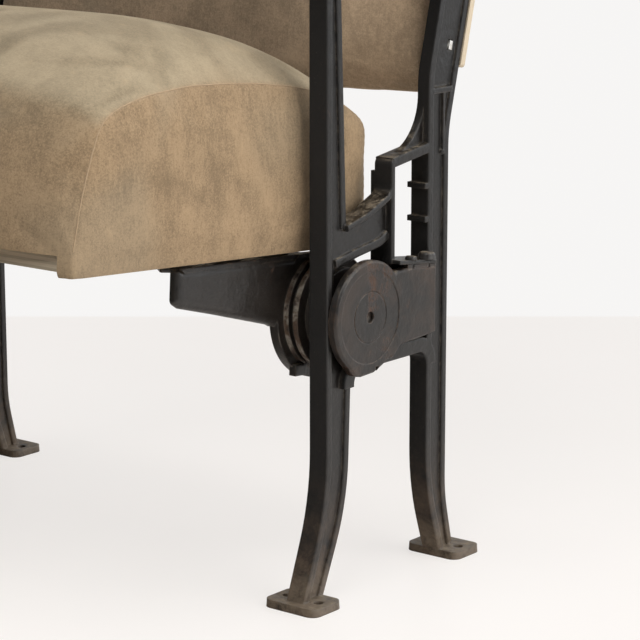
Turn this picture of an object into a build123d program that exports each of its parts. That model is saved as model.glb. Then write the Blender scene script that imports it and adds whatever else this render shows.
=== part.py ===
from build123d import *
import math
import os

# Tip-up auditorium seat: two cast standards, a tipping cushion on a pair of
# drum hinges, and a raked back on a bent plywood board.
#
# X runs to the sitter's left, Y to the rear and Z up, in millimetres. The origin
# is on the floor, midway between the standards and between their foot bolts.
# Each standard and its fittings are drawn about the standard's own mid-plane,
# with +X outward. The seat is drawn level about the hinge axis, then tilted.
# The back is drawn upright on the rear faces of the standards, then raked.

# ---- layout ----
standard_pitch = 570.0
foot_pitch = 208.0
pivot_y = -32.0
pivot_z = 246.5
seat_tilt = 3.8
back_rake = 14.5
tip_range = 43.0

# ---- cast standard ----
flange_w = 19.6
flange_t = 8.0
web_t = 7.0
bead_w = 12.0
bead_t = 7.0
cast_r = 1.4
front_face_y = -83.0
front_depth = 22.5
front_lean = 9.5
leg_bend_z = 92.0
leg_bend_r = 230.0
leg_depth_front = 39.0
rear_face_y = 62.0
rear_depth = 36.0
rear_bend_z = 72.0
knee_z = 394.0
front_knee_z = 446.0
standard_top_z = 690.0
foot_w = 58.0
foot_l = 41.0
foot_t = 7.0
foot_corner_r = 9.0
foot_hole_r = 4.5
foot_hole_x = 17.0
panel_low_z = 199.0
panel_step_z = 326.0
post_y = 8.0
post_t = 5.5
post_inner_w = 14.0
post_inner_z = 367.0
low_flange_t = 14.0
low_bend_r = 18.0
window_rim_t = 8.0
window_rim_w = 13.0
brace_z = 376.0
brace_rise = 7.0
brace_t = 9.0
ledge_z = 289.5
ledge_t = 3.5
ledge_slope = 7.0
gusset_h = 44.0
stud_rib_z = (319.0, 349.0)
stud_rib_out = 5.0
knee_rib_z = 434.5
knee_rib_t = 5.0
nut_slot_h = 9.0
nut_seat = 13.0
arm_z = 592.0
arm_corner_r = 34.0
arm_plate_t = 6.0
arm_plate_w = 30.0

# ---- hinge ----
bolt_r = 8.0
hinge_play = 0.05
boss_r = 22.0
cover_r = 49.5
cover_out = 18.0
cover_wall = 3.0
cover_bevel = 2.0
cover_face_r = 41.0
cover_step = 0.6
cover_ring_r = 23.0
cover_ring_w = 0.9
cover_hole_r = 5.0
cover_tail_y = 64.5
cover_tail_z = (217.0, 281.5)
cover_lug_r = 54.0
disc_r = 51.0
disc_hub_r = 40.0
disc_hub_t = 13.0
disc_rim_t = 5.0
drum_gap = 0.5
drum_neck_r = 45.0
drum_neck_t = 5.0
drum_rim_t = 4.0
stop_inner_r = 25.0
stop_outer_r = 39.0
stop_depth = 4.0
key_angle = 34.0
buffer_angle = 8.0
bush_wall = 3.0
washer_t = 2.5
rivet_r = 3.5
rivet_circle_r = 32.0
rivet_angles = (195.0, 235.0, 305.0, 345.0)
rivet_pad_r = 7.0
cover_bolt_r = 3.0
cover_bolt_l = 15.0
cover_head_r = (5.5, 8.3)
cover_head_h = (3.5, 7.0)
key_middle = 270.0
stop_play = 0.3

# ---- seat arm ----
arm_front_y = -190.0
arm_top_z = 51.0
arm_nose_z = 20.0
arm_root_z = -8.0
arm_big_r = 60.0
arm_wall = 5.0
arm_depth = 9.0
arm_flange_w = 38.0
arm_flange_t = 3.5
arm_nose_r = 8.0
arm_pad_r = 11.0
arm_screw_y = (-170.0, -106.0, -42.0)
arm_screw_r = 2.5

# ---- seat cushion ----
seat_side_gap = 20.0
cushion_front_y = -333.0
cushion_rear_y = 44.0
cushion_low_z = 58.5
cushion_side_z = 205.0
crown_h = 38.0
front_bulge = 11.0
side_bulge = 2.5
cover_t = 1.8
cloth_gap = 0.3
board_t = 12.5
board_margin = 6.5
board_corner_r = 12.0
hem = 15.0
hem_r = 4.0
front_band_x = 24.0
stud_r = 9.0
stud_h = 3.0
stud_in_x = 45.0
stud_in_y = 58.0

# ---- back ----
board_thick = 6.5
backboard_h = 352.0
backboard_low = 0.0
back_dish = 30.0
dish_margin = 60.0
dish_end_r = 900.0
dish_mid_r = 1150.0
back_side_gap = 16.0
back_low = -26.0
back_high = 366.0
pad_board_t = 8.0
back_pad_t = 22.0
back_crown = 12.0
pad_edge = 10.0
pad_low_r = 22.0
pad_high_r = 22.0
backboard_over = 7.0
backboard_corner_r = 3.0
back_bolt_z = (16.5, 212.0)
back_bolt_r = 2.5
back_head_t = 3.0
back_nut_w = 8.0
back_nut_t = 4.5
screw_r = 2.0
screw_play = 0.3
seat_gap = 0.05
back_screw_share = 0.62
back_screw_z = (30.0, 165.0, 300.0)

# ---- armrest ----
armrest_w = 56.0
armrest_t = 24.0
armrest_corner_r = 14.0
armrest_edge_r = 8.0
armrest_bite = 16.0
armrest_front_y = -140.0
armrest_gap = 2.0
armrest_screw_y = (-40.0, 18.0, 76.0)

half_pitch = standard_pitch / 2
cushion_half_w = half_pitch - seat_side_gap
back_half_w = half_pitch - back_side_gap
back_screw_x = back_screw_share * back_half_w
lean = math.tan(math.radians(back_rake))
foot_front_y = -foot_pitch / 2
foot_rear_y = foot_pitch / 2
rear_edge_y = rear_face_y + rear_depth
flange_out = flange_w / 2
panel_end_y = post_y + post_t
half_lean = math.tan(math.radians(back_rake / 2))
back_skin = cover_t + cloth_gap
stop_angle = key_angle + 2 * buffer_angle
drum_x = -flange_out - disc_hub_t - disc_rim_t - drum_gap
arm_x = drum_x - drum_neck_t - drum_rim_t
arm_screw_x = arm_x - arm_flange_w / 2
board_low_z = cushion_low_z + cover_t
board_top_z = board_low_z + board_t
back_base_z = 450.0
cover_back_x = flange_out + 0.1
cover_bolt_x = (cover_back_x + cover_out) / 2


def rear_line_y(z, inset=0.0):
    """Rear face of the rear upright at a height, or a line set in from it."""
    bend = knee_z + inset * half_lean
    return rear_edge_y - inset + max(0.0, z - bend) * lean


def front_line_y(z, inset=0.0):
    """Front face of the rear upright at a height, or a line set in from it."""
    bend = front_knee_z - inset * half_lean
    return rear_face_y + inset + max(0.0, z - bend) * lean


def back_front_y(z):
    """Foremost face of the crowned back pad at a height."""
    depth = cloth_gap + back_skin + pad_board_t + back_pad_t + back_crown
    return rear_line_y(z) - depth / math.cos(math.radians(back_rake))


def side_curve(points, radii):
    """Straights and tangent arcs in the side view, through (y, z) corners."""
    corners = [(0, y, z) for y, z in points]
    if len(corners) == 2:
        return Polyline(*corners)
    return FilletPolyline(*corners, radius=radii)


def flange(points, radii, width, thickness, x=0.0):
    """A cast flange: a round-edged bar swept along a line of the side view."""
    path = side_curve(points, radii)
    frame = Plane(origin=path @ 0, x_dir=(1, 0, 0), z_dir=path % 0)
    section = frame * Pos(x, 0) * RectangleRounded(width, thickness, cast_r)
    return sweep(section, path=path)


def side_plate(points, radii, x_low, x_high):
    """A flat plate with a closed side-view outline, from x_low to x_high."""
    corners = [(y, z) for y, z in points]
    face = make_face(FilletPolyline(*corners, radius=radii, close=True))
    solid = extrude(Plane.YZ * face, amount=x_high - x_low)
    return Pos(x_low, 0, 0) * solid


def rod(radius, x_low, x_high, y=0.0, z=0.0):
    """A round bar or hole along X."""
    length = x_high - x_low
    return Pos((x_low + x_high) / 2, y, z) * Rot(0, 90, 0) * Cylinder(radius, length)


def block(x, y, z):
    """A box from three (low, high) pairs."""
    size = [high - low for low, high in (x, y, z)]
    centre = [(high + low) / 2 for low, high in (x, y, z)]
    return Pos(*centre) * Box(*size)


def both_sides(solid):
    """The left part as drawn, and its mirror image for the right."""
    left = Pos(half_pitch, 0, 0) * solid
    return left, mirror(left, about=Plane.YZ)


def tilted(solid):
    """Moves what was drawn level about the hinge axis to the seat's rest pose."""
    return Pos(0, pivot_y, pivot_z) * Rot(-seat_tilt, 0, 0) * solid


def raked(solid):
    """Moves what was drawn upright onto the raked rear faces of the standards."""
    return Pos(0, rear_line_y(back_base_z), back_base_z) * Rot(-back_rake, 0, 0) * solid


# ------------------------------------------------------------------ standards

def front_member():
    """Front upright and front leg: flange, thin web and rear bead."""
    face = front_face_y + flange_t / 2
    toe = foot_front_y + flange_t / 2 - 12.0
    heel = foot_front_y + 20.0 - bead_t / 2
    arm_end = front_line_y(arm_z) + flange_t
    flange_line = [(arm_end, arm_z - flange_t / 2), (face, arm_z - flange_t / 2),
                   (face, leg_bend_z), (toe, foot_t / 2)]
    out = flange(flange_line, [arm_corner_r, leg_bend_r], flange_w, flange_t)
    top_rear = front_face_y + front_depth - bead_t / 2
    low_rear = top_rear + front_lean
    upper_line = [(top_rear, arm_z - flange_t), (low_rear, panel_step_z)]
    leg_rear = front_face_y + leg_depth_front - bead_t / 2
    leg_line = [(leg_rear, panel_low_z), (leg_rear - 4.5, leg_bend_z - 8.0), (heel, foot_t / 2)]
    out += flange(upper_line, None, bead_w, bead_t)
    out += flange(leg_line, [200.0], bead_w, bead_t)
    web = [(face, arm_z - flange_t / 2), (top_rear, arm_z - flange_t), (low_rear, panel_step_z),
           (leg_rear, panel_low_z), (leg_rear - 4.5, leg_bend_z - 8.0), (heel, foot_t / 2),
           (toe, foot_t / 2), (face, leg_bend_z)]
    out += side_plate(web, [0, 0, 0, 0, 200.0, 0, 0, leg_bend_r], -web_t / 2, web_t / 2)
    return out


def rear_member():
    """Rear leg and raked upright. Its flange is cut back where the back fits."""
    face = rear_face_y + flange_t / 2
    toe = foot_rear_y - 19.0 + flange_t / 2
    heel = foot_rear_y + 7.0 - bead_t / 2
    edge = rear_edge_y - bead_t / 2
    top = standard_top_z
    bend = front_knee_z - flange_t / 2 * half_lean
    knee = knee_z + bead_t / 2 * half_lean
    top_face = front_line_y(top, flange_t / 2)
    top_edge = rear_line_y(top, bead_t / 2)
    lower = [(face, brace_z + brace_rise), (face, rear_bend_z), (toe, foot_t / 2)]
    upper = [(top_face, top), (face, bend), (face, brace_z)]
    rear = [(top_edge, top), (edge, knee), (edge, rear_bend_z - 14.0), (heel, foot_t / 2)]
    half_w = (flange_w + web_t) / 2
    out = flange(lower, [220.0], flange_w, flange_t)
    out += flange(upper, [70.0], half_w, flange_t, x=(flange_w - web_t) / 4)
    out += flange(rear, [120.0, 150.0], bead_w, bead_t)
    web = [(top_face, top), (top_edge, top), (edge, knee), (edge, rear_bend_z - 14.0),
           (heel, foot_t / 2), (toe, foot_t / 2), (face, rear_bend_z), (face, bend)]
    out += side_plate(web, [0, 0, 120.0, 150.0, 0, 0, 220.0, 70.0], -web_t / 2, web_t / 2)
    rib_top = (web_t / 2 - 0.5, flange_out)
    out += block(rib_top, (face, edge + 3.0), (knee_rib_z - knee_rib_t, knee_rib_z))
    mid = (rear_face_y + rear_edge_y) / 2 + 10.0
    out += block((web_t / 2 - 0.5, web_t / 2 + 2.5), (mid - 1.5, mid + 1.5), (brace_z, knee_rib_z))
    out += Pos(web_t / 2, mid, brace_z) * Sphere(3.2)
    for z in stud_rib_z:
        rib = (rear_face_y - stud_rib_out, rear_face_y + 1.0)
        out += block((-flange_out, flange_out), rib, (z - 2.5, z + 2.5))
    return out


def panel():
    """Hinge panel between the uprights, with its stepped top and brace."""
    front = front_face_y + front_depth
    rear = rear_face_y + 4.0
    post = post_y + post_t / 2
    step_line = [(front + 7.0, panel_step_z), (post_y - 30.0, panel_step_z + 8.0),
                 (post, panel_step_z + 22.0), (post, brace_z + 1.0), (rear, brace_z + brace_rise)]
    out = flange(step_line, [70.0, 12.0, 5.0], flange_w, post_t)
    post_w = flange_out + post_inner_w
    post_line = [(post, ledge_z - ledge_t), (post, post_inner_z)]
    out += flange(post_line, None, post_w, post_t, x=(flange_out - post_inner_w) / 2)
    brace_line = [(post, brace_z - 1.0), (rear, brace_z + brace_rise)]
    out += flange(brace_line, None, flange_w, brace_t)
    low = panel_low_z + low_flange_t / 2
    leg_y = front_face_y + leg_depth_front - low_flange_t / 2
    rear_leg_y = rear_face_y + low_flange_t / 2
    low_line = [(leg_y, low - low_bend_r - 2.0), (leg_y, low), (rear_leg_y, low),
                (rear_leg_y, low - low_bend_r - 2.0)]
    out += flange(low_line, [low_bend_r, low_bend_r], flange_w, low_flange_t)
    body = [(front - 8.0, panel_low_z + 2.0), (rear, panel_low_z + 2.0),
            (rear, ledge_z - ledge_t - 6.0), (post, ledge_z - ledge_t),
            (post, panel_step_z + 22.0), (post_y - 30.0, panel_step_z + 8.0),
            (front - 8.0, panel_step_z)]
    out += side_plate(body, 0, -web_t / 2, web_t / 2)
    return out + ledge() + gusset()


def ledge_line(y, drop=0.0):
    """A point on the ledge's sloping top, or straight below it."""
    return y, ledge_z - (y - panel_end_y) * math.tan(math.radians(ledge_slope)) - drop


def ledge():
    """Sloping shelf under the opening, which the hinge cover's bolts pass through."""
    front, rear = panel_end_y - 4.0, rear_face_y + 2.0
    outline = [ledge_line(front), ledge_line(rear), ledge_line(rear, ledge_t),
               ledge_line(front, ledge_t)]
    return side_plate(outline, 0, -flange_out, cover_out)


def ledge_frames():
    """Frames of the cover bolts, square to the ledge's top."""
    frames = []
    for y in cover_bolt_y():
        frames.append(Pos(cover_bolt_x, *ledge_line(y)) * Rot(-ledge_slope, 0, 0))
    return frames


def gusset():
    """Curved web in the corner between the brace and the rear upright."""
    start = (post_y + 6.0, brace_z + 4.0)
    end = (rear_face_y + 1.0, brace_z + brace_rise + gusset_h)
    middle = (start[0] + 0.72 * (end[0] - start[0]), start[1] + 0.32 * (end[1] - start[1]))
    corner = (rear_face_y + 6.0, brace_z + brace_rise)
    edge = ThreePointArc(start, middle, end)
    rest = Polyline(end, (corner[0], end[1]), corner, (start[0], brace_z), start)
    face = make_face(edge + rest)
    return Pos(-web_t / 2, 0, 0) * extrude(Plane.YZ * face, amount=web_t)


def foot(y):
    """Foot plate with a bolt hole on each side of the leg."""
    plate = extrude(RectangleRounded(foot_w, foot_l, foot_corner_r), foot_t, taper=4.0)
    for x in (-foot_hole_x, foot_hole_x):
        plate -= Pos(x, 0, 0) * Cylinder(foot_hole_r, 4 * foot_t)
    return Pos(0, y, 0) * plate


def arm_plate():
    """Flat head of the arm, which the armrest is screwed to."""
    rear = front_line_y(arm_z) + flange_t
    front = front_face_y + 8.0
    plate = Pos(0, (front + rear) / 2, arm_z) * extrude(
        RectangleRounded(arm_plate_w, rear - front, 6.0), arm_plate_t)
    for y in armrest_screw_y:
        plate -= Pos(0, y, arm_z) * Cylinder(screw_r + screw_play, 4 * arm_plate_t)
    return plate


def standard():
    """One casting: members, panel, feet, arm, boss, and its holes."""
    out = front_member() + rear_member() + panel()
    out += foot(foot_front_y) + foot(foot_rear_y) + arm_plate()
    out += rod(boss_r, -flange_out, flange_out, pivot_y, pivot_z)
    for y, z in rivet_points():
        out += rod(rivet_pad_r, -flange_out, 0, y, z)
    out += flange(window_top(window_rim_t / 2), [40.0, 30.0], window_rim_w, window_rim_t)
    window = window_top(0.0) + [(post_y, pivot_z + 23.0), (window_top(0.0)[0][0], pivot_z + 23.0)]
    out -= side_plate(window, [8.0, 40.0, 30.0, 3.0, 3.0, 3.0], -web_t, web_t)
    out -= rod(bolt_r, -2 * flange_out, 2 * flange_out, pivot_y, pivot_z)
    for y, z in rivet_points():
        out -= rod(rivet_r, -2 * flange_out, 2 * flange_out, y, z)
    for y in armrest_screw_y:
        out -= Pos(0, y, arm_z - flange_t) * Cylinder(screw_r + screw_play, 4 * flange_t)
    for frame in ledge_frames():
        out -= frame * Cylinder(cover_bolt_r, 4 * ledge_t)
    for z in back_bolt_z:
        out -= nut_slot(z)
    return out


def window_top(rise):
    """Upper edge of the panel's window, or a line above it."""
    foot_y = front_face_y + 17.0
    points = [(foot_y, pivot_z + 46.0), (foot_y + 32.0, pivot_z + 52.0),
              (post_y - 10.0, pivot_z + 56.5), (post_y, pivot_z + 62.0)]
    return [(y, z + rise) for y, z in points]


def nut_slot(z):
    """Side opening for a back bolt's nut, with the bolt hole behind it."""
    low = -nut_seat - back_nut_t - 2.0
    slot = block((-flange_w, flange_w), (low, -nut_seat), (z - nut_slot_h / 2, z + nut_slot_h / 2))
    hole = Pos(0, -nut_seat, z) * Rot(90, 0, 0) * Cylinder(back_bolt_r, 2 * nut_seat + 2.0)
    return raked(slot + hole)


# ---------------------------------------------------------------------- hinge

def rivet_points():
    """Places of the disc's rivets about the hinge, below the panel's window."""
    return [(pivot_y + rivet_circle_r * math.cos(math.radians(a)),
             pivot_z + rivet_circle_r * math.sin(math.radians(a))) for a in rivet_angles]


def cover_bolt_y():
    """Places of the two cover bolts along the ledge."""
    return (panel_end_y + 17.5, rear_face_y - 7.5)


def cover_outline(grow, x_low, x_high):
    """Keyhole outline: round face, tail to the rear and a lug below."""
    low, high = cover_tail_z
    disc = rod(cover_r + grow, x_low, x_high, pivot_y, pivot_z)
    tail = [(pivot_y + 20.0, pivot_z + 24.0), (pivot_y + 38.0, high), (pivot_y + 62.0, high),
            (cover_tail_y, high - 3.5), (cover_tail_y, low), (pivot_y + 44.0, low - 3.0),
            (pivot_y + 30.0, low - 16.0), (pivot_y, pivot_z)]
    grown = [(y + (grow if y > 0 else 0), z + grow * (1 if z > pivot_z else -1)) for y, z in tail]
    out = disc + side_plate(grown, [0, 9.0, 20.0, 2.0, 2.0, 9.0, 6.0, 0], x_low, x_high)
    lug = [(pivot_y - 39.0, pivot_z - 29.0), (pivot_y - 22.0, pivot_z - cover_lug_r + 5.0),
           (pivot_y - 12.0, pivot_z - cover_lug_r + 3.0), (pivot_y + 10.0, pivot_z - cover_lug_r + 4.0),
           (pivot_y + 26.0, pivot_z - 40.0), (pivot_y, pivot_z)]
    lug = [(y, z - (grow if z < pivot_z else 0)) for y, z in lug]
    return out + side_plate(lug, [0, 8.0, 5.0, 6.0, 9.0, 0], x_low, x_high)


def hinge_cover():
    """Outer cover: a bevelled keyhole shell with a marked ring and centre hole."""
    back = cover_back_x
    out = cover_outline(0.0, back, cover_out)
    out = chamfer(out.faces().sort_by(Axis.X)[-1].edges(), cover_bevel)
    out -= cover_outline(-cover_wall, back - 1.0, cover_out - cover_wall)
    step = cover_out - cover_step
    out -= rod(cover_face_r, step, 2 * cover_out, pivot_y, pivot_z)
    ring = rod(cover_ring_r, step - cover_step, cover_out, pivot_y, pivot_z)
    out -= ring - rod(cover_ring_r - cover_ring_w, 0, 2 * cover_out, pivot_y, pivot_z)
    foot_ring = rod(boss_r + 16.0, web_t / 2, cover_out - cover_wall, pivot_y, pivot_z)
    foot_ring -= rod(boss_r + 13.0, 0, cover_out, pivot_y, pivot_z)
    wide = (pivot_y - 80.0, pivot_y + 80.0)
    slots = block((0, back), wide, (pivot_z + 22.0, pivot_z + 80.0))
    slots += block((0, back), wide, (pivot_z - 60.0, panel_low_z + low_flange_t + 1.0))
    slots += block((0, back), (pivot_y - 80.0, front_face_y + front_depth + 1.0),
                   (pivot_z - 60.0, pivot_z + 60.0))
    out += foot_ring - slots
    lip_front = panel_end_y + 9.0
    lip = [ledge_line(lip_front, ledge_t), ledge_line(cover_tail_y, ledge_t),
           ledge_line(cover_tail_y, ledge_t + 11.0), ledge_line(lip_front, ledge_t + 11.0)]
    out += side_plate(lip, 0, back, cover_out - 1.0)
    for frame in ledge_frames():
        out -= frame * Cylinder(cover_bolt_r, 2 * cover_bolt_l)
    for y, z in rivet_points():
        out -= rod(rivet_r + 3.5, 0, flange_out + 3.0, y, z)
    out -= rod(cover_hole_r, 0, 2 * cover_out, pivot_y, pivot_z)
    notch = (pivot_y + 7.0, pivot_y + 11.0)
    out -= block((0, 2 * cover_out), notch, (pivot_z - 70.0, pivot_z - cover_lug_r + 9.0))
    return out


def sector(inner, outer, angle, middle, x_low, x_high):
    """Part of a ring about the hinge axis, drawn level about that axis."""
    ring = rod(outer, x_low, x_high) - rod(inner, x_low - 1, x_high + 1)
    reach = 4 * outer
    start = math.radians(middle - angle / 2)
    end = math.radians(middle + angle / 2)
    mid = (start + end) / 2
    corners = [(0, 0), (reach * math.cos(start), reach * math.sin(start)),
               (reach * math.cos(mid), reach * math.sin(mid)),
               (reach * math.cos(end), reach * math.sin(end))]
    wedge = extrude(Plane.YZ * make_face(Polyline(*corners, close=True)), amount=x_high - x_low)
    return ring & (Pos(x_low, 0, 0) * wedge)


def hinge_disc():
    """Fixed half of the drum, with the key that stops the seat arm."""
    hub_end = -flange_out - disc_hub_t
    out = rod(disc_hub_r, hub_end, -flange_out)
    out += rod(disc_r, hub_end - disc_rim_t, hub_end)
    out = out - rod(bolt_r, -2 * disc_r, 0)
    face = hub_end - disc_rim_t
    out += sector(stop_inner_r + drum_gap, stop_outer_r - drum_gap, key_angle, key_middle,
                  face - stop_depth + drum_gap, face + 1.0)
    out = Pos(0, pivot_y, pivot_z) * Rot(-seat_tilt, 0, 0) * out
    for y, z in rivet_points():
        out -= rod(rivet_r, -2 * disc_r, 0, y, z)
    return out


def stop_buffers():
    """Rubber blocks on both flanks of the key."""
    face = -flange_out - disc_hub_t - disc_rim_t
    out = []
    for turn in (-1, 1):
        middle = key_middle + turn * (key_angle + buffer_angle) / 2
        out.append(sector(stop_inner_r + drum_gap, stop_outer_r - drum_gap, buffer_angle - 0.4,
                          middle, face - stop_depth + drum_gap, face))
    return Pos(0, pivot_y, pivot_z) * Rot(-seat_tilt, 0, 0) * (out[0] + out[1])


def disc_rivets():
    """Rivets that hold the fixed disc to the standard."""
    low = -flange_out - disc_hub_t - disc_rim_t
    out = Part()
    for y, z in rivet_points():
        head = rod(rivet_r + 2.5, web_t / 2, web_t / 2 + 3.0, y, z)
        out += rod(rivet_r, low, web_t / 2 + 1.0, y, z) + head
    return out


def pivot_bolt():
    """Hinge bolt: hexagon head under the cover, threaded end inboard."""
    end = arm_x - arm_wall - washer_t - 16.0
    head = Plane.YZ.offset(flange_out) * RegularPolygon(12.0, 6)
    out = rod(bolt_r, end, flange_out + 1.0) + extrude(head, amount=4.6)
    out = Pos(0, pivot_y, pivot_z) * chamfer(out.faces().sort_by(Axis.X)[0].edges(), 1.2)
    return out


def pivot_nut():
    """Hexagon nut on the hinge bolt."""
    face = arm_x - arm_wall - washer_t
    nut = extrude(Plane.YZ.offset(face - 11.0) * RegularPolygon(14.0, 6), amount=11.0)
    return Pos(0, pivot_y, pivot_z) * (nut - rod(bolt_r, face - 20.0, face + 20.0))


def pivot_washer():
    """Plain washer under the nut."""
    face = arm_x - arm_wall
    out = rod(2.2 * bolt_r, face - washer_t, face) - rod(bolt_r, face - 10.0, face + 10.0)
    return Pos(0, pivot_y, pivot_z) * out


def pivot_bush():
    """Bronze bush pressed into the seat arm, which turns on the bolt."""
    low, high = arm_x - arm_wall, drum_x
    out = rod(bolt_r + bush_wall, low, high) - rod(bolt_r + hinge_play, low - 1, high + 1)
    return Pos(0, pivot_y, pivot_z) * out


def seat_arm():
    """Tapered channel arm with the moving half of the drum on its outer face."""
    outline = [(arm_front_y, arm_top_z), (arm_front_y, arm_nose_z + 2.0),
               (arm_front_y + 9.0, arm_nose_z - 3.0), (-138.0, 8.0), (-66.0, arm_root_z),
               (-20.0, -30.0), (20.0, arm_top_z)]
    radii = [2.0, 6.0, 4.0, 60.0, 8.0, 0, 0]
    inner = arm_x - arm_depth
    channel = side_plate(outline, radii, inner, arm_x)
    channel = fillet(channel.faces().sort_by(Axis.X)[-1].edges().group_by(Axis.Y)[0], arm_nose_r)
    hollow = [(arm_front_y + 12.0, arm_top_z - arm_wall), (arm_front_y + 12.0, arm_nose_z + 5.0),
              (-138.0, 13.0), (-70.0, -2.0), (-70.0, arm_top_z - arm_wall)]
    channel -= side_plate(hollow, [3.0, 4.0, 60.0, 4.0, 4.0], inner - 1, arm_x - arm_wall)
    channel -= block((inner - 1, arm_x - arm_wall), (-62.0, 60.0), (-60.0, arm_top_z - arm_wall))
    channel += arm_flange()
    big_end = rod(arm_big_r, arm_x - arm_wall, arm_x)
    big_end -= block((inner, arm_x + 1), (-80.0, 80.0), (arm_top_z, arm_big_r + 1))
    skirt = rod(arm_big_r, arm_x - arm_wall - 12.0, arm_x)
    skirt -= rod(arm_big_r - arm_wall, inner, arm_x + 1)
    skirt &= block((inner, arm_x + 1), (-80.0, 80.0), (-80.0, arm_root_z))
    lug = block((arm_x - 3.0, arm_x + 4.0), (-37.0, -22.0), (-55.0, -45.0))
    out = channel + big_end + skirt + lug
    out += rod(disc_r, arm_x - 0.5, arm_x + drum_rim_t)
    out += rod(drum_neck_r, arm_x + drum_rim_t, drum_x)
    low = key_middle - stop_angle / 2 - stop_play
    pocket_angle = stop_angle + tip_range + 2 * stop_play
    pocket = sector(stop_inner_r, stop_outer_r, pocket_angle, low + pocket_angle / 2,
                    drum_x - stop_depth - drum_gap, drum_x + 1.0)
    out -= pocket
    out -= rod(bolt_r + bush_wall, -4 * disc_r, 0)
    for y in arm_screw_y:
        out += Pos(arm_screw_x, y, arm_top_z - 1.0) * extrude(
            Circle(arm_pad_r), board_low_z - arm_top_z + 1.0)
        out -= Pos(arm_screw_x, y, arm_top_z) * Cylinder(arm_screw_r + screw_play, 60.0)
    return tilted(out)


def arm_flange():
    """Thin flange along the arm's top, with a pointed tab ahead of the nose."""
    x_in, x_out = arm_x - arm_flange_w, arm_x - 1.0
    tip_x, tip_y = arm_x - 13.0, arm_front_y - 6.0
    outline = Polyline((x_out, -20.0), (x_out, arm_front_y + 10.0), (tip_x, tip_y),
                       (tip_x - 3.0, tip_y + 1.0), (x_in, arm_front_y + 14.0), (x_in, -20.0),
                       close=True)
    return Pos(0, 0, arm_top_z - arm_flange_t) * extrude(make_face(outline), amount=arm_flange_t)


def arm_screws():
    """Three wood screws up through the arm's pads into the seat board."""
    out = Part()
    for y in arm_screw_y:
        base = arm_top_z - arm_flange_t
        shank = Pos(arm_screw_x, y, base) * extrude(Circle(arm_screw_r), board_low_z - base + board_t - 2.0)
        head = Pos(arm_screw_x, y, base - 2.2) * extrude(Circle(2 * arm_screw_r), 2.2)
        out += shank + head
    return tilted(out)


# ----------------------------------------------------------------------- seat

def cushion_section(x, rise, bulge, inset):
    """Side-view outline of the cushion at one width, drawn in by inset."""
    low = cushion_low_z + inset
    front = cushion_front_y - bulge + inset
    rear = cushion_rear_y + 0.25 * bulge - inset
    top = cushion_side_z - inset
    corners = [(front, low), (front + 36.0, top - 12.0 + 0.75 * rise),
               (-150.0, top + 1.5 + rise), (6.0, top - 16.0 + 0.5 * rise),
               (rear, top - 60.0 + 0.25 * rise), (rear, low)]
    radii = [hem_r, 40.0, 420.0, 60.0, 32.0, hem_r]
    outline = FilletPolyline(*corners, radius=radii, close=True)
    return Plane.YZ.offset(x) * make_face(outline)


def cushion_body(inset):
    """Crowned cushion: broad in the middle, drawn in to the side seams."""
    seam = cushion_half_w - inset
    half = [(seam, 0.0), (0.8 * seam, 0.52), (0.45 * seam, 0.93)]
    stations = [(-x, share) for x, share in half] + [(0.0, 1.0)] + half[::-1]
    sections = [cushion_section(x, crown_h * share, front_bulge * share, inset)
                for x, share in stations]
    return loft(sections)


def cushion_side(inset):
    """Slightly bulged side panel between the seam and the standard."""
    seam = cushion_half_w - 0.01
    inner = cushion_section(seam, 0.0, 0.0, inset)
    outer = cushion_section(seam + side_bulge, 0.0, 0.0, inset + 9.0)
    panel_solid = loft([inner, outer])
    return panel_solid + mirror(panel_solid, about=Plane.YZ)


def seat_board():
    """Plywood seat board, with holes for the arm screws."""
    width = 2 * (cushion_half_w - board_margin)
    front = cushion_front_y + board_margin
    rear = cushion_rear_y - board_margin
    board = extrude(RectangleRounded(width, rear - front, board_corner_r), board_t)
    board = Pos(0, (front + rear) / 2, board_low_z) * board
    x = half_pitch + arm_screw_x
    for side in (-x, x):
        for y in arm_screw_y:
            board -= Pos(side, y, board_low_z) * Cylinder(arm_screw_r, 4 * board_t)
    return tilted(board)


def seat_cover():
    """Fabric skin, hemmed under the board and stopped above its front edge."""
    out = cushion_body(0.0) + cushion_side(0.0)
    out -= cushion_body(cover_t)
    wide = cushion_half_w - hem
    out -= block((-wide, wide), (cushion_front_y + hem, cushion_rear_y - hem),
                 (cushion_low_z - 1, board_low_z + 1))
    front = cushion_half_w - front_band_x
    out -= block((-front, front), (cushion_front_y - 40.0, cushion_front_y + hem + 5.0),
                 (cushion_low_z - 1, board_top_z))
    return tilted(out)


def seat_filling():
    """Stuffing on top of the board."""
    out = cushion_body(cover_t + cloth_gap)
    wide = 2 * cushion_half_w
    out &= block((-wide, wide), (-wide, wide), (board_top_z + cloth_gap, wide))
    return tilted(out)


def seat_studs():
    """Low steel studs under the board's front corners."""
    out = Part()
    for side in (-1, 1):
        x = side * (cushion_half_w - stud_in_x)
        place = Pos(x, cushion_front_y + stud_in_y, board_low_z - stud_h)
        out += place * extrude(Circle(stud_r), stud_h)
    return tilted(out)


# ----------------------------------------------------------------------- back

def dished_path():
    """Plan of the bent board: flat over the standards, hollow between them."""
    bend_x = half_pitch - dish_margin
    end_x = half_pitch + dish_margin
    corners = [(-end_x, 0), (-bend_x, 0), (0, back_dish), (bend_x, 0), (end_x, 0)]
    return FilletPolyline(*corners, radius=[dish_end_r, dish_mid_r, dish_end_r])


def between(half_width, solid):
    """The part of a solid that lies within a width either side of the middle."""
    reach = 8 * half_pitch
    return solid & Box(2 * half_width, reach, reach)


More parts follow.
